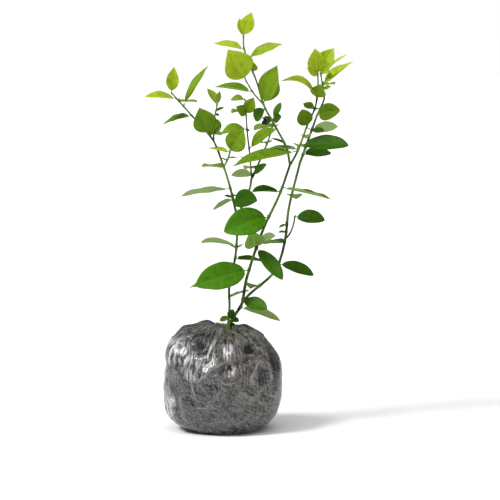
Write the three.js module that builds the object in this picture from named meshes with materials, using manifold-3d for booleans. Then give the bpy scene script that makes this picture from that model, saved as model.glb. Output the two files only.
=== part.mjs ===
// A young blueberry bush on its own root ball, which is wrapped in thin black film.
//
// Millimetres, +Z up, the front looks along +Y. The origin is the centre of the flat underside
// that the wrapped ball stands on. The bush has a short foot, four bare limbs and the leafy
// shoots that carry on from them. A shoot is one piece: its stem, its twigs and its leaves,
// whose stalks are sunk into them. A leaf that stands alone on a bare limb is a piece of its
// own. Every piece stands CLEAR from the one that carries it.

import * as THREE from 'three';
import { mergeVertices } from 'three/addons/utils/BufferGeometryUtils.js';
import Module from 'manifold-3d';

const wasm = await Module();
wasm.setup();

// ---- Driving dimensions ----

const CLEAR = 0.3; // between a piece and the one that carries it

// The ball is a squared-off egg, cut flat below, with a dimple on top that the bush grows out of.
const BALL_RADIUS = 60;
const BALL_MIDDLE = 50; // height of its widest level
const BALL_HALF_HEIGHT = 56;
const BALL_SQUARENESS = 2.6; // exponent of the egg's profile, where 2 is an ellipse
const FILM = 1.2; // the film's layers, gathered into one wall
const DIMPLE_DEPTH = 9;
const DIMPLE_RADIUS = 13;
const DIMPLE_REACH = 30; // how far out the dimple has dragged the film along with it
const SHOULDER_TILT = 0.13; // the left shoulder stands higher than the right one
const SHOULDER_RISE = 2.2; // and both stand above the front and the back
const LUMP = 0.022; // the soft lumps, as a share of the radius
const LUMP_FROM = 30; // the height from which on they are full
const LUMP_WAVES = [ // how many each wave has round the ball, and how it leans as it rises
  { round: 3, lean: 1 / 40, start: 0.6 },
  { round: 5, lean: -1 / 17, start: 0 },
];
const BALL_TURNS = 32; // facets round the ball
const BALL_RINGS = 12; // and from its foot to its top

const FOOT_X = 6; // the bush stands this far right of the ball's centre
const FOOT_RADIUS = 3.2; // at its flat cut, on top of the roots
const FOOT_SEAT = 1; // how deep its cut end sits in the roots
const MOUTH_DEPTH = 7; // of the hole round the foot, from that seat to above the film

const LIMB_SIDES = 8;
const TWIG_SIDES = 5;
const TWIG_RADII = [0.9, 0.65];
const LIMB_STEP = 12; // length of one facet along a limb

const LEAF_SHAPE = 0.46; // width of a leaf, as a share of its length, where no width is given
const LEAF_THICKNESS = 0.014; // of its length, at its midrib
const LEAF_FOLD = 0.2; // how far the two halves rise from the midrib, as a share of their width
const LEAF_BOW = 0.03; // how far the blade bows, as a share of its length
const LEAF_CHANCE = 0.7; // how far one leaf's fold and bow may differ from another's
const LEAF_TIP = 0.15; // half-width of the blunted tip
const STALK = 0.5; // half-width of a leaf's stalk
const STALK_SHARE = 0.09; // of the leaf's whole length
const LEAF_STATIONS = [0, 0.09, 0.2, 0.38, 0.6, 0.84, 1]; // where a leaf's rings lie
const LEAF_EGG = 0.86; // under 1, a blade is widest before its middle
const LEAF_FULLNESS = 0.8; // under 1, its sides are rounder than a sine wave

const BACK_LEAF = 34; // length of the leaves on the side turned away
const BACK_SPREAD = 40; // degrees that they may turn from straight back
const BACK_DROOP = 10; // degrees that they may droop
const BACK_CHANCE = 0.25; // how far their lengths and distances may differ
const SEED = 7;

const WELD = 1e-4; // corners nearer than this are one
const NEAR_ENOUGH = 1e-6; // of a curve's length, when a point on it is sought

const ballTop = BALL_MIDDLE + BALL_HALF_HEIGHT;
const footCut = ballTop - DIMPLE_DEPTH - FILM - FOOT_SEAT;

// Bare limbs. Each runs through the points of its route, [right, back, up], and tapers from the
// first radius to the second. It is cut clear of the limbs that it grows from.
//
// Leaves. Each grows from its stem at a height, and is given as
// [height, [right, back, up] from its joint to its tip, face, width, bow], where face is how far
// its upper side has rolled from looking up towards looking at the front, in degrees, and bow is
// how far the blade stands off the line from joint to tip, as a share of its length. Width and
// bow are left out where the leaf has the usual ones. Back leaves follow the rule further down.
const LIMBS = {
  foot: {
    from: [],
    route: [[FOOT_X, 0, footCut], [FOOT_X, 0, 103], [6.6, 0, 111]],
    radii: [FOOT_RADIUS, 2.4],
    leaves: [],
  },
  left_stem: {
    from: ['foot'],
    route: [[5, 1, 107], [6.4, 2, 123], [6.2, 4, 144], [12.2, 6, 173], [14, 9, 197], [13, 10, 219]],
    radii: [1.4, 1.25],
    leaves: [
      [114, [-9, -4, -4], 60, 6],
      [133.5, [20, 14, 5], -12],
      [151, [-42, 14, -10], 20],
      [172, [31, 16, -5], 13],
      [185, [-36, 14, 2], -18],
    ],
    backLeaves: 1,
  },
  middle_stem: {
    from: ['foot', 'left_stem'],
    route: [
      [7.5, -1, 107], [11.4, -2, 115.3], [18.3, -4, 126], [23.7, -6, 153], [40.5, -10, 203.3],
      [56, -12, 236.6], [67, -14, 268],
    ],
    radii: [1.9, 1.35],
    leaves: [
      [112, [6, -6, -2], 60, 6],
      [115, [-7, -7, 4], 70, 10],
      [124, [40, -8, -13], -37, 17],
      [132, [24, -20, -8], 50, 15],
      [162, [-53, -18, -14], 62, 29],
      [184, [26, -16, -30], 50, 16],
      [184.5, [-6, -14, 16], 85, 21],
      [192, [16, 12, 3], -60, 10],
      [215, [-44, -20, -13], 66, 29, 0.08],
      [240, [-28, -16, 1], 20],
      [244.5, [48, -16, -11], 7],
    ],
  },
  right_stem: {
    from: ['middle_stem'],
    route: [
      [19, -3, 128], [26, 3, 135.6], [51.5, 14, 157.4], [58, 19, 171.2], [63, 24, 192.6],
      [66, 27, 219.8], [77.5, 30, 267],
    ],
    radii: [1.6, 1.35],
    leaves: [
      [165.5, [36, 10, -12], 42],
      [197, [-8, -4, 0], 30, 4],
      [205, [-8, -5, -3], 30, 4],
    ],
    backLeaves: 3,
  },
  back_stem: {
    from: ['left_stem'],
    route: [[13.8, 9.5, 204], [18.7, 17, 223.3], [27, 25, 242.2], [28.4, 28, 251]],
    radii: [1.3, 1.15],
    leaves: [],
  },
};

// Shoots. Each carries on from the tip of a bare limb, and a twig branches from its stem.
const SHOOTS = {
  left_shoot: {
    from: ['left_stem', 'back_stem'],
    route: [
      [13, 10, 218], [5.5, 13, 248.5], [-1, 15, 268], [-10, 17, 290], [-28, 17, 311],
      [-52, 14, 338],
    ],
    radii: [1.25, 0.7],
    leaves: [
      [231, [-20, -14, -9], -38],
      [231, [24, -20, 0], 60, 20],
      [233, [-8, -3, 2], 40, 4],
      [242, [-50, 12, -8], -20, 19],
      [294, [7, 14, 17], 80, 14],
      [296, [-9, -16, 27], 80, 24],
      [315, [-30, 12, -9], 25],
      [324, [24, 12, 41], 14],
      [332, [-32, -8, 2], 27],
      [337.5, [3, -10, 26], 85],
    ],
    twigs: [
      {
        route: [[-9.5, 17, 289], [-9, 21, 309], [-6, 24, 326]],
        leaves: [
          [319, [8, 5, 4], 40, 4],
          [324.5, [3, -8, 15], 0, 7],
          [325, [-10, 8, 17], 25],
        ],
      },
      {
        route: [[0.5, 14.6, 263], [5, 11, 272], [7, 8, 279]],
        leaves: [
          [270, [-7, -3, 3], 30, 3],
          [273, [9, 2, 0], 30, 3],
          [278, [14, -12, 24], 80, 22],
          [278.5, [-22, 8, 4], 15],
        ],
      },
    ],
    backLeaves: 4,
  },
  back_shoot: {
    from: ['back_stem'],
    route: [[28.3, 28, 250], [35.6, 36, 265.7], [42, 44, 280], [46.5, 49, 291], [51.5, 57, 312]],
    radii: [1.1, 0.7],
    leaves: [
      [254, [-22, -10, 1], -50, 12],
      [255, [13, -6, 11], 60, 8],
      [309, [8, -7, 4], 60, 11],
      [311, [7, 8, 16], 25, 8],
    ],
    twigs: [
      {
        route: [[28.6, 29, 252], [26.4, 27, 279], [24.5, 25, 295.5], [22, 22, 331]],
        leaves: [
          [281, [28, -12, 21], 45],
          [300, [-27, -8, -4], 40, 14, 0.2],
          [315, [-10, -10, 9], 60, 12],
          [316, [8, -8, 17], 75, 13],
          [330, [-15, 8, 0], 45, 9, 0.2],
        ],
        backLeaves: 2,
      },
    ],
    backLeaves: 4,
  },
  centre_shoot: {
    from: ['middle_stem'],
    route: [
      [66.7, -14, 267], [63, -17, 284], [51.5, -21, 306], [40.5, -26, 326.2], [33.5, -31, 349],
      [21.3, -38, 381.3], [20.6, -41, 394.3],
    ],
    radii: [1.2, 0.65],
    leaves: [
      [289, [-13, 8, 4], 15, 5],
      [312, [-7, 4, 3], 50, 3],
      [313, [-6, -4, -6], 70, 6],
      [323, [-10, 8, -12], 60, 13],
      [327, [13, -14, 38], 66, 26],
      [328, [16, 10, 20], 60, 17],
      [359, [1, -8, 9], 80, 9],
      [372, [34, -10, 14], 45],
      [381, [-30, 12, 6], 22],
      [393, [-4, 6, 18], 60, 9],
      [393.5, [8, -6, 23], 80, 14],
    ],
    twigs: [
      {
        route: [[40, -26, 327], [30.4, -32, 338], [22.5, -37, 351]],
        leaves: [
          [339.5, [-38, 10, 5], 13],
          [350.5, [-17, -14, 30], 80, 30],
        ],
      },
    ],
    backLeaves: 2,
  },
  inner_right_shoot: {
    from: ['middle_stem', 'centre_shoot'],
    route: [
      [67.3, -14, 267.5], [74.5, -18, 281.6], [83.5, -20, 306], [91.5, -20, 325], [94, -18, 346],
      [93.6, -16, 357.4],
    ],
    radii: [1.1, 0.7],
    leaves: [
      [281, [-65, -24, -13], 20, 30, 0],
      [283, [-32, 10, -1], 8],
      [287, [47, -14, 0], 38],
      [305, [-5, -14, 17], 80, 16],
      [322, [-11, 8, 6], 50, 9],
      [332, [-36, -14, 18], 27, 17, 0.2],
      [333, [3, -12, 14], 70, 16],
      [355, [-11, -8, 8], 60, 10],
      [356.5, [-3, -14, 25], 80, 18],
      [357, [16, -4, 25], 75, 18],
    ],
    backLeaves: 2,
  },
  right_shoot: {
    from: ['right_stem'],
    route: [
      [77.2, 30, 266], [89, 33, 298.4], [94.8, 35, 314.5], [102, 37, 332], [100.5, 38, 343],
      [98.2, 39, 358],
    ],
    radii: [1.35, 0.7],
    leaves: [
      [275, [29, 16, 2], 35, 16],
      [300, [12, -8, -1], 45, 8],
      [301, [26, 8, 2], -70, 12],
      [315, [22, -16, 5], 70, 18],
      [341, [8, -6, 3], 60, 5],
      [344, [31, 14, 25], 8],
      [356, [9, 8, 5], 40, 7],
      [357, [26, -8, 19], 25, 8],
    ],
    backLeaves: 4,
  },
  right_side_twig: {
    from: ['right_stem'],
    route: [[62.8, 24, 190], [67.3, 20, 196], [71.1, 16, 207], [72, 15, 214]],
    radii: [0.95, 0.8],
    leaves: [[213.5, [30, -10, 0], 46, 16, 0.08]],
  },
};

// ---- Materials ----

const film = new THREE.MeshStandardMaterial({ color: 0x33302e, roughness: 0.3, metalness: 0 });
const peat = new THREE.MeshStandardMaterial({ color: 0x3a2b20, roughness: 0.95, metalness: 0 });
const greenBark = new THREE.MeshStandardMaterial({ color: 0x4b6b2c, roughness: 0.6, metalness: 0 });
const oldLeaf = new THREE.MeshStandardMaterial({ color: 0x3c7d1c, roughness: 0.5, metalness: 0 });
const youngLeaf = new THREE.MeshStandardMaterial({ color: 0x83b22c, roughness: 0.5, metalness: 0 });

// ---- Solids ----

// A geometry as a solid that can be joined and cut.
function solid(geometry) {
  geometry.deleteAttribute('normal');
  geometry.deleteAttribute('uv');
  const closed = mergeVertices(geometry, WELD);
  return new wasm.Manifold(new wasm.Mesh({
    numProp: 3,
    vertProperties: closed.getAttribute('position').array,
    triVerts: new Uint32Array(closed.index.array),
  }));
}

// A solid as a named mesh. A scrap that a cut has left beside it is dropped.
function mesh(name, body, material) {
  const whole = body.decompose().reduce((a, b) => (a.volume() > b.volume() ? a : b));
  const { numProp, vertProperties, triVerts } = whole.getMesh();
  const geometry = new THREE.BufferGeometry();
  const corners = new THREE.InterleavedBuffer(vertProperties, numProp);
  geometry.setAttribute('position', new THREE.InterleavedBufferAttribute(corners, 3, 0));
  geometry.setIndex(new THREE.BufferAttribute(triVerts, 1));
  geometry.computeVertexNormals();
  const made = new THREE.Mesh(geometry, material);
  made.name = name;
  return made;
}

// Moves each point of a geometry to where place puts it.
function reshape(geometry, place) {
  const points = geometry.getAttribute('position');
  const point = new THREE.Vector3();
  for (let i = 0; i < points.count; i++) {
    const spot = place(point.fromBufferAttribute(points, i));
    points.setXYZ(i, spot.x, spot.y, spot.z);
  }
  return solid(geometry);
}

function curveOf(route) {
  return new THREE.CatmullRomCurve3(route.map((point) => new THREE.Vector3(...point)));
}

// A tapering limb along a route. Grown, it is that much thicker, and longer at its tip.
function limb({ route, radii }, sides, grown = 0) {
  const curve = curveOf(route);
  const steps = Math.max(2, Math.round(curve.getLength() / LIMB_STEP));
  const { tangents, normals, binormals } = curve.computeFrenetFrames(steps);
  return reshape(new THREE.CylinderGeometry(1, 1, 1, sides, steps), ({ x, y, z }) => {
    const along = y + 0.5;
    const i = Math.round(along * steps);
    const radius = THREE.MathUtils.lerp(...radii, along) + grown;
    return curve.getPointAt(along)
      .addScaledVector(tangents[i], i === steps ? grown : 0)
      .addScaledVector(binormals[i], -x * radius)
      .addScaledVector(normals[i], -z * radius);
  });
}

// The point of a rising route at a height.
function pointAtHeight(route, height) {
  const curve = curveOf(route);
  let [low, high] = [0, 1];
  while (high - low > NEAR_ENOUGH) {
    const middle = (low + high) / 2;
    if (curve.getPoint(middle).z < height) low = middle;
    else high = middle;
  }
  return curve.getPoint(low);
}

// Numbers from -1 to 1, the same ones in each run.
let drawn = 0;
function chance() {
  drawn += 1;
  return 2 * THREE.MathUtils.seededRandom(SEED + drawn) - 1;
}

// A blade's half-width along it, as a share of the widest: an egg with a pointed tip.
function outline(share) {
  return Math.sin(Math.PI * share ** LEAF_EGG) ** LEAF_FULLNESS;
}

// A leaf from its joint to its tip: a stalk, then a folded blade that bows between its ends.
function leaf(route, [height, reach, face, width, bow]) {
  const joint = pointAtHeight(route, height);
  const chord = new THREE.Vector3(...reach);
  const length = chord.length();
  const axis = chord.clone().normalize();
  const roll = THREE.MathUtils.degToRad(face);
  const skyward = new THREE.Vector3(0, 0, 1).projectOnPlane(axis).normalize();
  const forward = new THREE.Vector3(0, -1, 0).projectOnPlane(axis).normalize();
  const up = skyward.multiplyScalar(Math.cos(roll)).addScaledVector(forward, Math.sin(roll))
    .normalize();
  const side = new THREE.Vector3().crossVectors(axis, up);
  const broad = (width ?? LEAF_SHAPE * length) / 2;
  const fold = LEAF_FOLD * (1 + LEAF_CHANCE * chance());
  const usualBow = LEAF_BOW * (1 + LEAF_CHANCE * chance());
  const steps = LEAF_STATIONS.length - 1;
  return reshape(new THREE.CylinderGeometry(1, 1, 1, 4, steps), ({ x, y, z }) => {
    const along = LEAF_STATIONS[Math.round((y + 0.5) * steps)];
    const share = (along - STALK_SHARE) / (1 - STALK_SHARE);
    const blade = share > 0 && share < 1 ? outline(share) * broad : 0;
    const half = Math.max(blade, share < 1 ? STALK : LEAF_TIP);
    const thick = Math.max(length * LEAF_THICKNESS / 2, share > 0 ? LEAF_TIP : STALK);
    const rise = (bow ?? usualBow) * length * 4 * along * (1 - along);
    return joint.clone()
      .addScaledVector(chord, along)
      .addScaledVector(side, x * half)
      .addScaledVector(up, rise + z * thick + fold * blade * Math.abs(x));
  });
}

// The rule for the side turned away: its leaves are spread evenly up a stem, and reach back.
function backRows({ route, backLeaves = 0 }) {
  const foot = route[0][2];
  const step = (route.at(-1)[2] - foot) / backLeaves;
  return Array.from({ length: backLeaves }, (_, i) => {
    const height = foot + step * (i + 0.5 + BACK_CHANCE * chance());
    const turn = THREE.MathUtils.degToRad(BACK_SPREAD * chance());
    const droop = THREE.MathUtils.degToRad(BACK_DROOP * (1 + chance()) / 2);
    const reach = new THREE.Vector3(
      Math.sin(turn) * Math.cos(droop),
      Math.cos(turn) * Math.cos(droop),
      -Math.sin(droop),
    ).multiplyScalar(BACK_LEAF * (1 + BACK_CHANCE * chance()));
    return [height, reach.toArray(), 0];
  });
}

// Cuts a body clear of the limbs that it grows from.
function cutClear(body, carriers) {
  return carriers.reduce(
    (left, name) => left.subtract(limb(LIMBS[name] ?? SHOOTS[name], LIMB_SIDES, CLEAR)),
    body,
  );
}

// ---- The wrapped root ball ----

// The filled egg, inset by so much from its skin. It has settled: its top has sunk round the
// foot, its shoulders have slumped and soft lumps stand out all round.
function settledEgg(inset) {
  const power = 2 / BALL_SQUARENESS;
  const lowest = -Math.asin((BALL_MIDDLE / BALL_HALF_HEIGHT) ** (1 / power));
  const profile = [];
  for (let i = 0; i <= BALL_RINGS; i++) {
    const turn = THREE.MathUtils.lerp(lowest, Math.PI / 2, i / BALL_RINGS);
    const rise = Math.sign(turn) * Math.abs(Math.sin(turn)) ** power;
    profile.push(new THREE.Vector2(
      (BALL_RADIUS - inset) * Math.max(0, Math.cos(turn)) ** power,
      BALL_MIDDLE + (BALL_HALF_HEIGHT - inset) * rise,
    ));
  }
  profile.unshift(new THREE.Vector2(0, profile[0].y));
  profile.at(-1).x = 0;
  const egg = new THREE.LatheGeometry(profile, BALL_TURNS).rotateX(Math.PI / 2);
  return reshape(egg, ({ x, y, z }) => {
    const out = Math.hypot(x, y);
    const angle = Math.atan2(y, x);
    const top = (z / ballTop) ** 2;
    const rim = 1 - Math.exp(-((out / DIMPLE_RADIUS) ** 4));
    const dragged = FOOT_X * top * Math.exp(-((out / DIMPLE_REACH) ** 2));
    const shoulders = rim * (SHOULDER_RISE * Math.cos(2 * angle) - SHOULDER_TILT * x);
    const lumps = LUMP_WAVES.map(({ round, lean, start }) => Math.sin(round * angle + lean * z + start));
    const swell = 1 + LUMP * rim * (lumps[0] + lumps[1]) * Math.min(1, z / LUMP_FROM);
    return new THREE.Vector3(
      x * swell + dragged,
      y * swell,
      z + top * (shoulders - (1 - rim) * DIMPLE_DEPTH),
    );
  });
}

const mouth = solid(
  new THREE.CylinderGeometry(FOOT_RADIUS + CLEAR, FOOT_RADIUS + CLEAR, MOUTH_DEPTH, LIMB_SIDES)
    .rotateX(Math.PI / 2)
    .translate(FOOT_X, 0, footCut - CLEAR + MOUTH_DEPTH / 2),
);
const filmWrap = settledEgg(0).subtract(settledEgg(FILM)).subtract(mouth);
const rootBall = settledEgg(FILM + CLEAR).subtract(mouth);

// ---- The bush ----

const limbs = new Map();
for (const [name, stem] of Object.entries(LIMBS)) {
  limbs.set(name, cutClear(limb(stem, LIMB_SIDES), stem.from));
}

const leaves = new Map();
for (const [name, stem] of Object.entries(LIMBS)) {
  stem.leaves.forEach((row, i) => {
    leaves.set(`${name}_leaf_${i + 1}`, cutClear(leaf(stem.route, row), [name]));
  });
}

const shoots = new Map();
for (const [name, shoot] of Object.entries(SHOOTS)) {
  const twigs = (shoot.twigs ?? []).map((twig) => ({ radii: TWIG_RADII, ...twig }));
  const parts = [
    limb(shoot, LIMB_SIDES),
    ...twigs.map((twig) => limb(twig, TWIG_SIDES)),
    ...[shoot, ...twigs].flatMap(({ route, leaves: rows }) => rows.map((row) => leaf(route, row))),
  ];
  shoots.set(name, cutClear(parts.reduce((whole, part) => whole.add(part)), shoot.from));
}

// A back leaf is left out where it would touch a piece that it doesn't grow from.
function isClear(body, ownName) {
  return [limbs, leaves, shoots].every((pieces) => (
    [...pieces].every(([name, other]) => name === ownName || body.intersect(other).isEmpty())
  ));
}

for (const [name, stem] of Object.entries(LIMBS)) {
  for (const row of backRows(stem)) {
    const body = cutClear(leaf(stem.route, row), [name]);
    const count = [...leaves.keys()].filter((other) => other.startsWith(name)).length;
    if (isClear(body, null)) leaves.set(`${name}_leaf_${count + 1}`, body);
  }
}

for (const [name, shoot] of Object.entries(SHOOTS)) {
  for (const stem of [shoot, ...(shoot.twigs ?? [])]) {
    for (const row of backRows(stem)) {
      const body = leaf(stem.route, row);
      if (isClear(body, name)) shoots.set(name, shoots.get(name).add(body));
    }
  }
}

const bush = new THREE.Group();
bush.add(mesh('film_wrap', filmWrap, film));
bush.add(mesh('root_ball', rootBall, peat));
limbs.forEach((body, name) => bush.add(mesh(name, body, greenBark)));
leaves.forEach((body, name) => bush.add(mesh(name, body, oldLeaf)));
shoots.forEach((body, name) => bush.add(mesh(name, body, youngLeaf)));

export default bush;
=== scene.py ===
import itertools
import math
import random

import bmesh
import bpy
import numpy as np
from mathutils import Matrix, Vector, noise


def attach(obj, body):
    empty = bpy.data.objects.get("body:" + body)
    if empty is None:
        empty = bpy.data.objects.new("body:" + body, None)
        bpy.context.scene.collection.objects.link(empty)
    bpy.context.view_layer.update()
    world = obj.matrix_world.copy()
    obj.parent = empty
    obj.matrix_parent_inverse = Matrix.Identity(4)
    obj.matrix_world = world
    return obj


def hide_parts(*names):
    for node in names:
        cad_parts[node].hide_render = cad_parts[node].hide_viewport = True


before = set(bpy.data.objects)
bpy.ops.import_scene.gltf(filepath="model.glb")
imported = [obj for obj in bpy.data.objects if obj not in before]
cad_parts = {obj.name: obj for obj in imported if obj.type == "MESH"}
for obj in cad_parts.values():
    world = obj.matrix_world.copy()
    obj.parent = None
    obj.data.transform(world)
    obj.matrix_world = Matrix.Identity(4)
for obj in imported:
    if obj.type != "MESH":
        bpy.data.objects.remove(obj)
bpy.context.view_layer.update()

# A young blueberry bush on its own root ball, wrapped in thin black film. Sizes are in
# millimetres, with the origin under the middle of the ball, +Z up and the front facing -Y.
# The script puts it together from the roots up: peat, film, stems, leaves, buds.


# ---- The roots ----
# Moist peat held together by fine roots, pressed by hand into a squat egg. Only its crumbly top
# shows, as a dark mound in the mouth of the film round the foot of the bush.

MM = 0.001
BALL_RADIUS = 60
BALL_MIDDLE = 50  # height of its widest level
BALL_HALF_HEIGHT = 56
BALL_SQUARENESS = 2.6  # exponent of the egg's profile, where 2 is an ellipse
DIMPLE_DEPTH = 9
DIMPLE_RADIUS = 13
DIMPLE_REACH = 30
SHOULDER_TILT = 0.13
SHOULDER_RISE = 2.2
LUMP = 0.022  # as a share of the radius
LUMP_FROM = 30  # height from which the lumps are whole
LUMP_WAVES = [(3, 1 / 40, 0.6), (5, -1 / 17, 0)]  # how many round the ball, lean, start
BALL_TOP = BALL_MIDDLE + BALL_HALF_HEIGHT
FOOT_X = 6

PEAT_INSET = 9.5  # the film's hollows stay outside it
PEAT_RINGS = 110
PEAT_TURNS = 120
MOUND = 6.5  # how far the peat stands up round the foot
MOUND_REACH = 9
CRUMBS = [(4.5, 0.9), (1.9, 0.45)]  # size and height of the coarse and the fine crumbs
MEASURES = 20  # how many times finer than its rings a profile is measured


def paint(code):
    """An sRGB hex colour as linear RGBA."""
    parts = [int(code[i : i + 2], 16) / 255 for i in (1, 3, 5)]
    return (*[c / 12.92 if c <= 0.04045 else ((c + 0.055) / 1.055) ** 2.4 for c in parts], 1)


def new_object(name, data):
    made = bpy.data.objects.new(name, data)
    bpy.context.scene.collection.objects.link(made)
    return made


def wire(tree, node, inputs):
    """Sets a node's inputs, which are listed in order, by name or by number. Where a socket is
    given it is linked, and where a node is given, its first output in use."""
    for name, value in inputs.items() if isinstance(inputs, dict) else enumerate(inputs):
        if isinstance(value, bpy.types.Node):
            value = next(output for output in value.outputs if output.enabled)
        if isinstance(value, bpy.types.NodeSocket):
            tree.links.new(value, node.inputs[name])
        else:
            node.inputs[name].default_value = value


def add(material, kind, inputs=(), **settings):
    """Adds a node with its settings, and sets or links its inputs."""
    made = material.node_tree.nodes.new(kind)
    for name, value in settings.items():
        setattr(made, name, value)
    wire(material.node_tree, made, inputs)
    return made


def new_material(name):
    """A material, and the place in the part that its patterns go by."""
    made = bpy.data.materials.new(name)
    made.use_nodes = True
    return made, add(made, "ShaderNodeTexCoord").outputs["Object"]


def finish_material(material, pattern, strength, depth, inputs):
    """Gives a surface a relief of so many millimetres from a pattern, and its other inputs."""
    relief = {"Height": pattern, "Strength": strength, "Distance": depth * MM}
    inputs["Normal"] = add(material, "ShaderNodeBump", relief)
    wire(material.node_tree, material.node_tree.nodes["Principled BSDF"], inputs)


def egg_profile(inset, rings):
    """Evenly spaced (out, up) points of the egg from the rim of its flat underside to its top."""
    power = 2 / BALL_SQUARENESS
    lowest = -math.asin((BALL_MIDDLE / BALL_HALF_HEIGHT) ** (1 / power))
    turn = np.linspace(lowest, math.pi / 2, MEASURES * rings)
    out = (BALL_RADIUS - inset) * np.maximum(0, np.cos(turn)) ** power
    up = BALL_MIDDLE + (BALL_HALF_HEIGHT - inset) * np.sign(turn) * np.abs(np.sin(turn)) ** power
    gone = np.concatenate([[0], np.cumsum(np.hypot(np.diff(out), np.diff(up)))])
    even = np.linspace(0, gone[-1], rings + 1)
    return list(zip(np.interp(even, gone, out), np.interp(even, gone, up)))


def spun(profile, turns):
    """A closed body of revolution whose profile starts and ends on the axis."""
    bm = bmesh.new()
    points = [bm.verts.new((out, 0, up)) for out, up in profile]
    edges = [bm.edges.new(pair) for pair in zip(points, points[1:])]
    bmesh.ops.spin(
        bm, geom=points + edges, cent=(0, 0, 0), axis=(0, 0, 1), angle=2 * math.pi,
        steps=turns, use_merge=True,
    )
    bmesh.ops.remove_doubles(bm, verts=bm.verts, dist=0.001)
    bmesh.ops.recalc_face_normals(bm, faces=bm.faces)
    return bm


def places(bm):
    return np.array([vert.co for vert in bm.verts])


def move_to(bm, spots):
    for vert, spot in zip(bm.verts, spots):
        vert.co = spot
    bm.normal_update()


def settled(spots):
    """The ball as it has settled: its top sunk round the foot, its shoulders slumped and lumpy."""
    x, y, z = spots.T
    out = np.hypot(x, y)
    angle = np.arctan2(y, x)
    top = (z / BALL_TOP) ** 2
    rim = 1 - np.exp(-((out / DIMPLE_RADIUS) ** 4))
    dragged = FOOT_X * top * np.exp(-((out / DIMPLE_REACH) ** 2))
    shoulders = rim * (SHOULDER_RISE * np.cos(2 * angle) - SHOULDER_TILT * x)
    lumps = sum(np.sin(waves * angle + lean * z + start) for waves, lean, start in LUMP_WAVES)
    swell = 1 + LUMP * rim * lumps * np.minimum(1, z / LUMP_FROM)
    sunk = top * (shoulders - (1 - rim) * DIMPLE_DEPTH)
    return np.stack([x * swell + dragged, y * swell, z + sunk], axis=1)


def noise_at(spots, size):
    """Smooth noise from -1 to 1 whose lumps have this size."""
    return np.array([noise.noise(Vector(spot)) for spot in spots / size])


def finish_piece(name, bm, materials, slot, *nodes):
    """Turns a bmesh in millimetres into a piece that rides on the part's one body."""
    bmesh.ops.scale(bm, vec=(MM, MM, MM), verts=bm.verts)
    mesh = bpy.data.meshes.new(name)
    for material in materials:
        mesh.materials.append(material)
    for face in bm.faces:
        face.smooth = True
    bm.to_mesh(mesh)
    bm.free()
    piece = new_object(name, mesh)
    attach(piece, "root")
    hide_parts(*nodes)


# Peat: broken moss, dark with moisture, so it has no shine and a colour that changes by the crumb.
moist_peat, peat_place = new_material("moist_peat")
peat_crumbs = add(moist_peat, "ShaderNodeTexNoise", {"Vector": peat_place, "Scale": 1 / (2.5 * MM)})
peat_colour = add(
    moist_peat, "ShaderNodeMix",
    {0: peat_crumbs, 6: paint("#21160f"), 7: paint("#533b28")}, data_type="RGBA",
)
finish_material(moist_peat, peat_crumbs, 0.8, 0.8, {
    "Base Color": peat_colour, "Roughness": 0.93, "Specular IOR Level": 0.2,
})

peat_profile = egg_profile(PEAT_INSET, PEAT_RINGS)
peat_profile[-1] = (0, peat_profile[-1][1])
peat = spun([(0, peat_profile[0][1])] + peat_profile, PEAT_TURNS)
spots = settled(places(peat))
from_foot = np.hypot(spots[:, 0] - FOOT_X, spots[:, 1])
mound = (spots[:, 2] > BALL_MIDDLE) * MOUND * np.exp(-((from_foot / MOUND_REACH) ** 2))
crumbs = sum(height * noise_at(spots, size) for size, height in CRUMBS)
spots[:, 2] += mound + (spots[:, 2] > BALL_MIDDLE) * crumbs
move_to(peat, spots)
finish_piece("peat_and_roots", peat, [moist_peat], "peat", "root_ball")


# ---- The film ----
# Black polyethylene film, drawn up round the ball by hand, gathered at the foot of the bush and
# crumpled on the way. It is stretched thin over the left, doubled up below the middle, and shows
# the peat through it in its deepest folds. Its highlights and the shade in its hollows are partly
# painted into its colour.

FILM_RINGS = 196
FILM_TURNS = 424
UNDERSIDE_RINGS = 5
UNDERSIDE_HOLLOW = 1.2  # the film stands on its rim
MOUTH = [(5.4, 106.6), (4.6, 107.4), (4.0, 106.6), (3.8, 104.5), (3.8, 101)]  # the gathered lip
MOUTH_GAP = 0.8  # between the egg's last ring and the lip
MOUTH_FLOOR = 100  # below the peat, before the dimple sinks it
WRAP_RADIUS = 58  # of the cylinder on which the film is thought of as unrolled
ROUTE_STEPS = 60
HIGHEST = 5  # the most that the film stands out or sinks

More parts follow.
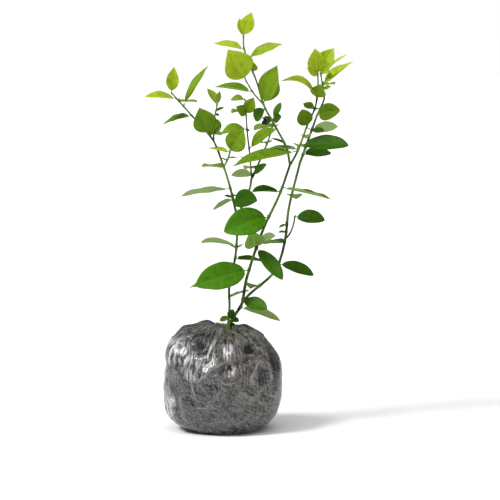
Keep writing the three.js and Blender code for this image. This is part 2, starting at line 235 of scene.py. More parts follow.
# Folds on the front, each with a route of [right, up] points, its height, and how far it falls
# off on the left and on the right of the way that it runs. A minus makes it a crease.
NARROW_FOLD = [(0, 104), (-8, 91), (-12, 84), (-14, 77)]
LOOSE_LAYER = [(-56, 62), (-52, 48), (-47, 36), (-46, 25), (-50, 12)]
FOLDS = [
    (NARROW_FOLD, 3.4, 1.0, 4.0),
    ([(3, 76), (-4, 71.5), (-10, 67.5), (-17, 61.5), (-23, 56)], 4.2, 0.9, 8.0),  # doubled flap
    ([(-6, 62), (-1, 57), (5, 54), (13, 56), (21, 62)], 1.8, 3.2, 1.0),  # the lip under the pocket
    ([(13, 95), (20, 98), (30, 98), (40, 95)], 1.6, 3.0, 2.0),  # the light ridge on the right
    ([(38, 80), (31, 67), (26, 54)], 2.2, 4.0, 2.0),  # the tent's left edge
    ([(38, 80), (45, 70), (48, 55)], 2.0, 2.0, 3.0),  # the tent's right edge
    ([(-50, 92), (-40, 95), (-31, 98), (-22, 104), (-10, 105)], 2.6, 4.5, 1.2),  # the left ledge
    ([(-33, 92), (-28, 90), (-22, 86)], 1.6, 1.0, 4.0),  # the grey facet's upper edge
    ([(-29, 62), (-29, 50), (-27, 43), (-25, 36)], 1.2, 1.3, 1.3),  # the crease under the flap
    (LOOSE_LAYER, 1.5, 0.9, 8.0),
    ([(-42, 42), (-30, 38), (-18, 37), (-4, 38)], -0.8, 1.6, 1.6),  # creases low on the left
    ([(-44, 33), (-32, 31), (-20, 30), (-8, 31)], 0.6, 1.4, 1.4),
    ([(42, 94), (48, 84), (52, 66), (54, 46)], -1.8, 2.2, 2.2),  # the edge of the smooth band
    ([(33, 94), (39, 84), (43, 74)], -1.6, 1.4, 2.4),  # grooves that run down towards the tent
    ([(27, 99), (36, 92), (44, 80), (47, 72)], 1.4, 1.5, 3.0),
    ([(-45, 96), (-36, 101), (-24, 106), (-14, 108)], 1.4, 1.6, 2.6),  # over the left shoulder
]

# Hollows and mounds on the front: right, up, half-width, half-height, and how far out.
SWELLS = [
    (-22, 92, 10, 10, -2.6),  # the dark hollow left of the narrow fold
    (10, 71, 12, 8, -2.8),  # the pocket above its lip
    (27.5, 88, 5.4, 4.8, -7.0),  # the round pit
    (24, 77, 4.5, 3.6, -4.0),  # the small pit under it
    (40, 66, 5, 10, -2.6),  # inside the tent
    (-42, 78, 14, 16, 1.0),  # the bright shoulder
    (-28, 72, 10, 9, 1.2),
    (50, 82, 10, 14, -2.2),  # the right shoulder falls away
    (58, 58, 12, 20, -2.6),
    (-61, 82, 8, 14, -2.5),
    (-60, 54, 12, 18, -2.8),  # the left side is nearly upright
    (-50, 12, 14, 14, 3.8),
    (-28, 106, 8, 7, -2.5),  # the left shoulder runs straight up to the mouth
]

# Facets that lie flatter than the ball does: right, up, half-width, half-height, and how
# steeply each one stands out to the right and upwards.
TILTS = [
    (-46, 83, 14, 14, -0.55, 0.0),
    (-25, 66, 10, 11, 0.05, -0.3),
    (6, 84, 7, 11, 0.42, 0.06),
    (-21, 92, 9, 9, -0.5, 0.7),
    (8, 66, 9, 8, 0.35, -0.2),
]

# Where the film was pulled thin and milky, with a painted highlight on it, and where it lies deep
# between its folds, in painted shade, dark and dull: right, up, half-width, half-height and how
# strongly.
STRETCHES_AND_HIGHLIGHTS = [
    (-44, 82, 15, 13, 0.5), (-27, 67, 12, 11, 0.42), (5, 84, 6, 8, 0.4), (9, 67, 9, 7, -0.05),
]
PAINTED_SHADES = [(-22, 94, 11, 10, 0.95), (0, 64, 9, 6, 0.6), (40, 57, 6, 8, 0.6), (49, 77, 4, 9, 0.45)]
STAINS = [(9, 66, 13, 8), (2, 86, 6, 9), (28, 72, 12, 10)]  # where peat shows brown through it

# Folds on the sides and the back, as ranges: where they start, how long, how bent, how high and
# how far they fall off on their steep and on their easy side.
BACK_FOLDS = 22
BACK_STARTS = ((-85, 85), (30, 92))
BACK_LENGTH = (18, 38)
BACK_BEND = (-6, 6)
BACK_HEIGHT = (1.4, 3.2)
BACK_STEEP = (0.9, 2)
BACK_EASY = (2, 7)


def curve_point(route, share):
    """A point of the centripetal Catmull-Rom curve through a route."""
    last = len(route) - 1
    i = min(int(share * last), last - 1)
    within = share * last - i
    b, c = Vector(route[i]), Vector(route[i + 1])
    a = Vector(route[i - 1]) if i > 0 else 2 * b - c
    d = Vector(route[i + 2]) if i + 2 <= last else 2 * c - b
    gap_a, gap_b, gap_c = [math.sqrt((q - p).length) for p, q in ((a, b), (b, c), (c, d))]
    leave = ((b - a) / gap_a - (c - a) / (gap_a + gap_b) + (c - b) / gap_b) * gap_b
    reach = ((c - b) / gap_b - (d - b) / (gap_b + gap_c) + (d - c) / gap_c) * gap_b
    square, cube = within**2, within**3
    return (
        b + leave * within
        + (3 * (c - b) - 2 * leave - reach) * square
        + (2 * (b - c) + leave + reach) * cube
    )


def near_route(spots, route):
    """For each [right, up] spot, how far left of a smooth route it is, and how far along it."""
    steps = np.linspace(0, 1, ROUTE_STEPS)
    line = np.array([curve_point([(x, 0, z) for x, z in route], step) for step in steps])[:, ::2]
    ahead = np.gradient(line, axis=0)
    ahead /= np.linalg.norm(ahead, axis=1)[:, None]
    away = spots[:, None] - line[None]
    nearest = np.argmin((away**2).sum(axis=2), axis=1)
    offset = away[np.arange(len(spots)), nearest]
    way = ahead[nearest]
    left = way[:, 0] * offset[:, 1] - way[:, 1] * offset[:, 0]
    return np.linalg.norm(offset, axis=1) * np.sign(left), steps[nearest]


def tapered(gap, share, cut, power):
    """How much of a fold stands beside its route: all of it halfway, less towards its ends."""
    past_end = np.where((share <= 0) | (share >= 1), np.exp(-((gap / 2) ** 2)), 1)
    return np.sin(np.pi * np.clip(share, cut, 1 - cut)) ** power * past_end


def smooth_step(value, low, high):
    share = np.clip((value - low) / (high - low), 0, 1)
    return share * share * (3 - 2 * share)


def unrolled(height):
    """The spots' places round the ball, with another height."""
    return np.stack([WRAP_RADIUS * np.cos(angle), WRAP_RADIUS * np.sin(angle), height], axis=1)


def drift(size):
    """Three different noises, one for each axis."""
    return np.stack([noise_at(spots + shift, size) for shift in (0, 31, 67)], axis=1)


def bell(right, up, half_width, half_height, power=1):
    """1 at a place on the front, falling to 0 round it, the more squarely the higher the power."""
    away = ((x - right) / half_width) ** 2 + ((z - up) / half_height) ** 2
    return in_front * np.exp(-(away**power))


def folded(spots, times, seed):
    """Crumpling: space is folded double across its longest way so many times. Gives the height
    that each spot then has, from about -1 to 1."""
    folding = random.Random(seed)
    left = spots.copy()
    for _ in range(times):
        longest = np.linalg.eigh(np.cov(left.T))[1][:, 2]
        way = longest + 0.35 * np.array([folding.gauss(0, 1) for _ in range(3)])
        way /= np.linalg.norm(way)
        side = left @ way
        crease = side.min() + (side.max() - side.min()) * folding.uniform(0.42, 0.58)
        left = left + np.outer(2 * np.maximum(0, crease - side), way)
    measure = np.array([folding.gauss(0, 1) for _ in range(3)])
    height = left @ (measure / np.linalg.norm(measure))
    return (height - height.mean()) / height.std()


film_profile = egg_profile(0, FILM_RINGS)
underside = [
    (film_profile[0][0] * i / UNDERSIDE_RINGS, UNDERSIDE_HOLLOW * (1 - i / UNDERSIDE_RINGS) ** 2)
    for i in range(UNDERSIDE_RINGS)
]
sides = [
    point for point in film_profile
    if point[0] > MOUTH[0][0] + MOUTH_GAP or point[1] < BALL_MIDDLE
]
film = spun(underside + sides + MOUTH + [(0, MOUTH_FLOOR)], FILM_TURNS)
upright_egg = places(film)
move_to(film, settled(upright_egg))
spots = places(film)
outward = np.array([vert.normal for vert in film.verts])

x, y, z = spots.T
out = np.hypot(x - FOOT_X * (z / BALL_TOP) ** 2, y)
angle = np.arctan2(y, x)
along = np.where(z > BALL_MIDDLE, z + (BALL_RADIUS - out), z)  # up the side, then in over the top
wander = 5 * drift(24)

in_front = smooth_step(-y, -24, -4)
drawn_up = smooth_step(z, 50, 74) * (1 - 0.7 * smooth_step(x, 16, 34) * (y < 0))
calm = 1 - 0.8 * smooth_step(x, 34, 50) * smooth_step(-y, -20, 10)  # the smooth band on the right
taut = bell(-45, 82, 14, 14, 2)

# Crumples, in millimetres: two coarse ones, which give way to the known folds in front, then
# pleats where the film was drawn up and slanting crumples where it was wound round the ball.
pleated = unrolled(along * 0.3) + wander * 0.5
slanted = spots + wander * 0.6
slanted[:, 2] = 1.5 * slanted[:, 2] + 0.5 * slanted[:, 0]
fine_pleats = folded(pleated, 15, 22)
fine_crumple = folded(slanted, 16, 32)
rise = calm * (1 - 0.6 * taut) * (
    (1 - 0.75 * in_front) * 1.2 * folded(spots + wander * 1.4, 8, 3)
    + (1 - 0.4 * in_front) * 0.75 * folded(spots + wander, 11, 8)
    + drawn_up * (0.5 * folded(pleated, 12, 21) + 0.2 * fine_pleats)
    + (1 - drawn_up) * (0.5 * folded(slanted, 13, 31) + 0.3 * fine_crumple)
)
finest = drawn_up * 0.6 * folded(pleated, 17, 23) + (1 - drawn_up) * folded(slanted, 18, 33)
facets = calm * (finest + drawn_up * 0.6 * fine_pleats + (1 - drawn_up) * 0.8 * fine_crumple)

# The known folds, whose crests are worn white in places and carry a painted highlight, and the
# hollows and facets among them.
front_plane = np.stack([x, z], axis=1)
whitened_and_lit_crests = np.zeros(len(spots))
unsteady = noise_at(spots, 5)
for route, height, left_fall, right_fall in FOLDS:
    gap, share = near_route(front_plane, route)
    gap = gap + unsteady
    fall = np.where(gap > 0, left_fall, right_fall)
    there = in_front * tapered(gap, share, 0.04, 0.4)
    rise += there * height * np.exp(-(np.hypot(gap, 0.5) - 0.5) / fall)
    # Crests are whitened in places, by wear and by a painted highlight.
    worn_and_lit = np.clip(0.45 + 1.5 * noise_at(spots, 7), 0, 1) * (height > 0)
    whitened_and_lit_crests = np.maximum(whitened_and_lit_crests, there * worn_and_lit * np.exp(-((gap / 0.9) ** 2)))
for *place, height in SWELLS:
    rise += height * bell(*place, 1.5)
for *place, lean_right, lean_up in TILTS:
    rise += (lean_right * (x - place[0]) + lean_up * (z - place[1])) * bell(*place, 2)

# Long folds round the sides and the back, where the film was drawn up just as roughly.
folding = random.Random(11)
from_back = np.stack([(angle - math.pi / 2) * BALL_RADIUS, z], axis=1)  # round the ball, and up
for _ in range(BACK_FOLDS):
    start = np.array([folding.uniform(*limits) for limits in BACK_STARTS])
    lean = np.array([folding.uniform(-1, 1), folding.uniform(-1, -0.1)])
    lean *= folding.uniform(*BACK_LENGTH) / np.linalg.norm(lean)
    bend = folding.uniform(*BACK_BEND)
    route = [start, start + lean / 2 + [bend, 0], start + lean]
    gap, share = near_route(from_back, route)
    fall = np.where(gap > 0, folding.uniform(*BACK_STEEP), folding.uniform(*BACK_EASY))
    there = (1 - in_front) * tapered(gap, share, 0.02, 0.5)
    rise += folding.uniform(*BACK_HEIGHT) * there * np.exp(-np.abs(gap) / fall)

# The lip is ruffled, and it and the underside are smoother than the rest.
rise = HIGHEST * np.tanh(rise / HIGHEST)
rise *= smooth_step(out, 5, 16) * smooth_step(z, -1, 12) + 0.25 * smooth_step(16 - out, 0, 8)
rise = np.where(upright_egg[:, 2] < 0.5, 0, rise)
spots = spots + outward * rise[:, None]
ruffle = 1.1 * np.sin(11 * angle + 3 * noise_at(spots, 20)) + 1.2 * noise_at(spots, 5)
spots[:, 2] += ruffle * np.exp(-((out - 9) / 5) ** 2) * (upright_egg[:, 2] > 90)
spots[:, 2] = np.maximum(0, spots[:, 2])
move_to(film, spots)

# The loose layer on the left is milky and streaky. Where the film was pulled thin it is milky
# too, with a painted highlight in pale streaks, and the flank of the narrow fold gets a painted
# highlight. Hollows get painted shade.
streaks = noise_at(unrolled(0.25 * along) + 0.3 * wander, 2)
layer_gap = near_route(front_plane, LOOSE_LAYER)[0] - 1.5 * noise_at(spots * (1, 1, 0.5), 5)
milkiness_and_highlights = in_front * smooth_step(-layer_gap, -0.5, 1.2) * smooth_step(z, 8, 16)
milkiness_and_highlights *= (1 - smooth_step(z, 46, 66)) * np.clip(0.62 + 0.3 * facets + 0.9 * streaks, 0.1, 1)
milkiness_and_highlights *= smooth_step(-y, -14, 6)
# Painted highlights: pale streaks where the film was pulled thin, which is milky there too.
for *place, strength in STRETCHES_AND_HIGHLIGHTS:
    thin_and_highlit = bell(*place, 2) * np.clip(strength + 1.3 * streaks, 0, 1)
    milkiness_and_highlights = np.maximum(milkiness_and_highlights, thin_and_highlit)
# A painted highlight along the flank of the narrow fold.
fold_gap, fold_share = near_route(front_plane, NARROW_FOLD)
flank_highlight = in_front * np.exp(-(((fold_gap + 1.7) / 2) ** 2))
flank_highlight *= smooth_step(fold_share, 0.2, 0.5) * (fold_share < 1)
milkiness_and_highlights = np.maximum(milkiness_and_highlights, flank_highlight * np.clip(0.9 + 1.2 * streaks, 0, 1.2))
# Painted shade: darker where the film sinks, and in the listed deep places.
hollow_shade = smooth_step(-rise, 1.2, 4.5)
for *place, depth in PAINTED_SHADES:
    hollow_shade = np.maximum(hollow_shade, depth * np.clip(0.75 + 1.5 * streaks, 0, 1) * bell(*place, 2))

# The finest wrinkles run up to the mouth where the film was drawn up, and round the ball below.
pulled = unrolled(0.13 * along - 0.3 * np.maximum(0, 50 - along)) + 0.4 * wander
wound = np.stack([0.3 * x, 0.3 * y, z + 0.4 * x], axis=1) + 0.4 * wander + 1.5 * drift(8)

# Spots that stand out from their neighbours are lighter: a painted highlight on the crumples'
# ridges.
sharpness = []
for vert in film.verts:
    near = [edge.other_vert(vert).co for edge in vert.link_edges]
    sharpness.append((vert.co - sum(near, Vector()) / len(near)).dot(vert.normal))
sharpness = np.clip(5 * np.array(sharpness) - 0.1, 0, 1)
film_fields = {
    "pale": milkiness_and_highlights,
    "stained": np.minimum(1, sum(bell(*place) for place in STAINS)),
    "creased": np.maximum(sharpness, whitened_and_lit_crests),
    "upright": drawn_up,
    # Painted light on the crumples' tops and painted shade in their hollows.
    "raised": 0.5 + 0.25 * facets,
    "sunken": hollow_shade,
    "pulled": pulled * MM,
    "wound": wound * MM,
}
for name, values in film_fields.items():
    layers = film.verts.layers.float_vector if values.ndim > 1 else film.verts.layers.float
    layer = layers.new(name)
    for vert, value in zip(film.verts, values):
        vert[layer] = value

# Blown low-density polyethylene: black with carbon, glossy where it is drawn smooth, with a milky
# haze where it has been stretched, brightened there by a painted highlight. The finest wrinkles
# are drawn about twice their real size.
black_film, film_place = new_material("blown_polyethylene_film")
film_field = {}
for name, values in film_fields.items():
    kind = "Vector" if values.ndim > 1 else "Fac"
    film_field[name] = add(black_film, "ShaderNodeAttribute", attribute_name=name).outputs[kind]
film_haze = add(
    black_film, "ShaderNodeTexNoise", {"Vector": film_place, "Scale": 1 / (7 * MM), "Detail": 6},
)
film_streaks, film_wrinkles = [
    add(
        black_film, "ShaderNodeTexNoise",
        {"Vector": film_field[way], "Scale": 1 / (size * MM), "Detail": 3, "Distortion": 0.3},
    )
    for way, size in (("pulled", 2.3), ("wound", 2.4))
]
film_way = add(black_film, "ShaderNodeMapRange", [film_field["upright"], 0, 1, 0.3, 0.92])
film_pattern = add(black_film, "ShaderNodeMix", {0: film_way, 2: film_wrinkles, 3: film_streaks})

# The film itself: near black in the hollows of its crumples and grey on their tops, which is
# painted shade and painted light; the grey is cool on the left and turns warm on the right.
film_relief = add(black_film, "ShaderNodeMath", [film_field["raised"], film_haze], operation="ADD")
film_ripple = add(black_film, "ShaderNodeMapRange", [film_pattern, 0.3, 0.7, -0.55, 0.55])
film_light_and_shade = add(black_film, "ShaderNodeMath", [film_relief, film_ripple], operation="ADD")
film_lit_tops = add(black_film, "ShaderNodeMapRange", [film_light_and_shade, 0.8, 1.6])
film_side = add(
    black_film, "ShaderNodeVectorMath",
    [film_place, (1 / (BALL_RADIUS * MM), 0, 0.5 / (BALL_RADIUS * MM))], operation="DOT_PRODUCT",
)
film_warmth = add(black_film, "ShaderNodeMapRange", [film_side, 0.1, 1.1])
film_tint = add(
    black_film, "ShaderNodeMix",
    {0: film_warmth, 6: paint("#2b2c2f"), 7: paint("#5e564b")}, data_type="RGBA",
)
film_colour = add(
    black_film, "ShaderNodeMix", {0: film_lit_tops, 6: paint("#080808"), 7: film_tint}, data_type="RGBA",
)

# Over it lie the peat's brown, the thin white lines of creases and wrinkles, worn white and also
# painted highlight, the painted shade of the hollows, and the milky haze with its painted
# highlight.
film_lines = [
    add(black_film, "ShaderNodeMath", [field, level, 0.026], operation="COMPARE")
    for field, level in ((film_streaks, 0.5), (film_wrinkles, 0.5), (film_pattern, 0.57))
]
film_net = film_lines[0]
for lines in film_lines[1:]:
    film_net = add(black_film, "ShaderNodeMath", [film_net, lines], operation="ADD")
film_patches = add(
    black_film, "ShaderNodeTexNoise", {"Vector": film_place, "Scale": 1 / (9 * MM), "Detail": 2},
)
film_faintness = add(black_film, "ShaderNodeMapRange", [film_patches, 0.3, 0.7, 0.1, 0.21])
film_thread = add(black_film, "ShaderNodeMapRange", [film_pattern, 0.36, 0.62, 0.1, 1.3])
film_net, film_lit_creases, film_brown, film_milk_and_highlight = [
    add(black_film, "ShaderNodeMath", pair, operation="MULTIPLY", use_clamp=clamped)
    for *pair, clamped in (
        (film_net, film_faintness, False),
        (film_field["creased"], film_haze, False),
        (film_field["stained"], film_light_and_shade, False),
        (film_field["pale"], film_thread, True),
    )
]
film_whitened_and_lit = add(black_film, "ShaderNodeMath", [film_lit_creases, film_net], operation="MAXIMUM")
for share, colour in (
    (film_brown, "#281a12"), (film_whitened_and_lit, "#b7b6b5"),
    (film_field["sunken"], "#080706"), (film_milk_and_highlight, "#c6c6c9"),
):
    inputs = {0: share, 6: film_colour, 7: paint(colour)}
    film_colour = add(black_film, "ShaderNodeMix", inputs, data_type="RGBA")
film_roughness = add(black_film, "ShaderNodeMapRange", [film_haze, 0, 1, 0.1, 0.26])
finish_material(black_film, film_pattern, 1, 0.9, {
    "Base Color": film_colour, "Roughness": film_roughness, "IOR": 1.51, "Specular IOR Level": 0.5,
})

finish_piece("crumpled_film", film, [black_film], "film", "film_wrap")


# ---- The stems ----
# Green first-year and second-year wood with a thin waxy bark, ribbed lengthwise and swollen at
# each joint. The limbs fork from the foot, which stands in the mouth of the film.

FOOT_CUT = 94.8
STEMS = {
    "foot": {
        "route": [(FOOT_X, 0, FOOT_CUT), (FOOT_X, 0, 103), (6.6, 0, 111)],
        "radii": (3.2, 2.4),
    },
    "left_stem": {
        "route": [
            (5, 1, 107), (6.4, 2, 123), (6.2, 4, 144), (12.2, 6, 173), (14, 9, 197), (13, 10, 219),
        ],
        "radii": (1.25, 1.1),
    },
    "middle_stem": {
        "route": [
            (7.5, -1, 107), (11.4, -2, 115.3), (18.3, -4, 126), (23.7, -6, 153), (40.5, -10, 203.3),
            (56, -12, 236.6), (67, -14, 268),
        ],
        "radii": (1.6, 1.15),
    },
    "right_stem": {
        "route": [
            (19, -3, 128), (26, 3, 135.6), (51.5, 14, 157.4), (58, 19, 171.2), (63, 24, 192.6),
            (66, 27, 219.8), (77.5, 30, 267),
        ],
        "radii": (1.4, 1.2),
    },
    "back_stem": {
        "route": [(13.8, 9.5, 204), (18.7, 17, 223.3), (27, 25, 242.2), (28.4, 28, 251)],
        "radii": (1.3, 1.15),
    },
}
BARK_SIDES = 14
BARK_STEP = 1.1  # length of one ring of bark
JOINT_SWELL = 0.3  # how much thicker a stem is at a joint
JOINT_REACH = 1.5
BARK_RIBS = 5
BARK_RIB_HEIGHT = 0.05  # as a share of the radius
BARK_RIB_TWIST = 0.05
BARK_WART = 2.2
BARK_WART_HEIGHT = 0.07
ROUTE_MEASURES = 40  # for each point of a route


def even_points(route, step):
    """Evenly spaced points along the curve through a route."""
    shares = np.linspace(0, 1, ROUTE_MEASURES * len(route))
    dense = np.array([curve_point(route, share) for share in shares])
    gone = np.concatenate([[0], np.cumsum(np.linalg.norm(np.diff(dense, axis=0), axis=1))])
    even = np.linspace(0, gone[-1], max(3, round(gone[-1] / step)) + 1)
    return [Vector(point) for point in zip(*(np.interp(even, gone, axis) for axis in dense.T))]


def rod(bm, sides, rings):
    """Adds a closed rod of radius 1 from z = 0 to z = 1, and gives its vertices and faces."""
    known, known_faces = len(bm.verts), len(bm.faces)
    ends = bmesh.ops.create_cone(
        bm, cap_ends=True, segments=sides, radius1=1, radius2=1, depth=1,
    )["verts"]
    uprights = {
        edge
        for end in ends
        for edge in end.link_edges
        if abs(edge.verts[0].co.z - edge.verts[1].co.z) > 0.5
    }
    bmesh.ops.subdivide_edges(bm, edges=list(uprights), cuts=rings - 1)
    bm.verts.ensure_lookup_table()
    bm.faces.ensure_lookup_table()
    made = bm.verts[known:]
    bmesh.ops.translate(bm, vec=(0, 0, 0.5), verts=made)
    return made, bm.faces[known_faces:]


def grow_stem(bm, route, radii, joints):
    """Bark along a route, from the first radius to the second, swollen at the joints' heights."""
    points = even_points(route, BARK_STEP)
    rings = len(points) - 1
    side = (points[1] - points[0]).normalized().orthogonal().normalized()
    squares = []  # the two ways square to the route at each ring, which don't twist along it
    for i in range(rings + 1):
        way = (points[min(i + 1, rings)] - points[max(i - 1, 0)]).normalized()
        side = (side - way * side.dot(way)).normalized()
        squares.append((side, way.cross(side)))
    for vert in rod(bm, BARK_SIDES, rings)[0]:
        i = round(vert.co.z * rings)
        turn = math.atan2(vert.co.y, vert.co.x)
        point = points[i]
        swell = sum(math.exp(-(((point.z - joint) / JOINT_REACH) ** 2)) for joint in joints)
        around = Vector((2 * math.cos(turn), 2 * math.sin(turn), 0))
        radius = (radii[0] + (radii[1] - radii[0]) * i / rings) * (
            1 + JOINT_SWELL * min(1, swell)
            + BARK_RIB_HEIGHT * math.sin(BARK_RIBS * turn + BARK_RIB_TWIST * point.z)
            + BARK_WART_HEIGHT * noise.noise(point / BARK_WART + around)
        )
        side, across = squares[i]
        vert.co = point + (side * math.cos(turn) + across * math.sin(turn)) * radius


# Young blueberry bark: waxy and green, darker in long random patches down to near black, with fine
# ribs that the light runs along.
green_bark, bark_place = new_material("waxy_green_bark")
bark_long, bark_longer = [
    add(green_bark, "ShaderNodeMapping", {"Vector": bark_place, "Scale": (1, 1, squeeze)})
    for squeeze in (0.45, 0.15)
]
bark_patches = add(
    green_bark, "ShaderNodeTexNoise", {"Vector": bark_long, "Scale": 1 / (15 * MM), "Detail": 3},
)
bark_ramp = add(green_bark, "ShaderNodeValToRGB", {"Fac": bark_patches})
for stop, position, colour in zip(
    bark_ramp.color_ramp.elements, (0.35, 0.57), ("#141d0a", "#587a26"),
):
    stop.position = position
    stop.color = paint(colour)
bark_fibre = add(
    green_bark, "ShaderNodeTexNoise", {"Vector": bark_longer, "Scale": 1 / (0.6 * MM)},
)
finish_material(green_bark, bark_fibre, 0.5, 0.25, {
    "Base Color": bark_ramp, "Roughness": 0.5, "Specular IOR Level": 0.2,
})


# ---- The leaves ----
# Oval leaves with a pointed tip and a whole margin, on stalks a few millimetres long: thin, waxy
# and darker above, paler and dull below. Those at the tips of the shoots are still lime green.
# A leaf is [height of its joint, [right, back, up] from there to its tip, face, tone, width, bow],
# where face is how far its upper side has rolled from looking up towards looking at the front.

LEAF_SHAPE = 0.46  # usual width, as a share of the length
LEAF_FOLD = 0.3  # how steeply its halves rise from the rib
LEAF_BOW = 0.03
LEAF_CHANCE = 0.7
LEAF_THICKNESS = 0.35
STALK = 0.5
STALK_SHARE = 0.09
BACK_LEAF = 34
BACK_SPREAD = 40
BACK_DROOP = 10
BACK_CHANCE = 0.25
SEED = 7
TWIG_RADII = (0.9, 0.65)

LEAF_ROWS = 44  # faces along a leaf, two to each of its lateral veins and two between them
LEAF_COLUMNS = 16  # and across it, above and below
YOUNG_OUTLINE = (0.86, 0.8, 0.28)  # how egg-shaped, how full, and how drawn out at the tip
OLD_OUTLINE = (0.95, 0.55, 0.1)
VEIN_SLANT = 0.17  # how far towards the tip a vein has run when it reaches the margin
VEIN_DEPTH = 0.16
RIB_WIDTH = 0.5
RIB_DEPTH = 0.4
RIB_BELOW = 0.5  # how far the rib stands out below, near the stalk
MARGIN_WAVE = 0.007  # as a share of the leaf's length
MARGIN_WAVES = (1.6, 3.1)  # how many along a margin
WAVE_LAG = 1.3  # of one margin behind the other
TWIST = 9  # degrees, either way
TIP_DROOP = 0.15
DRY_TIP = 0.97  # share of a leaf past which some old tips have gone dry
DRY_CHANCE = 0.4

LONE_LEAVES = {
    "left_stem": {
        "rows": [
            (114, (-9, -4, -4), 60, "olive", 6), (133.5, (20, 14, 5), -12, "sage"),
            (151, (-42, 14, -10), 20, "mid"), (172, (31, 16, -5), 13, "deep"),
            (185, (-36, 14, 2), -18, "sage"),
        ],
        "back": 1,
    },
    "middle_stem": {
        "rows": [
            (112, (6, -6, -2), 60, "deep", 6), (115, (-7, -7, 4), 70, "deep", 10),
            (124, (40, -8, -13), -37, "olive", 17), (132, (24, -20, -8), 50, "green", 15),
            (162, (-53, -18, -14), 62, "bright", 29), (184, (26, -16, -30), 50, "green", 16),
            (184.5, (-6, -14, 16), 85, "sage", 21), (192, (16, 12, 3), -60, "sage", 10),
            (215, (-44, -20, -13), 66, "bright", 29, 0.08), (240, (-28, -16, 1), 20, "deep"),
            (244.5, (48, -16, -11), -3, "olive", 15),
        ],
    },
    "right_stem": {
        "rows": [
            (165.5, (36, 10, -12), 48, "deep", 15, 0.03), (197, (-8, -4, 0), 30, "olive", 4),
            (205, (-8, -5, -3), 30, "olive", 4),
        ],
        "back": 3,
    },
}
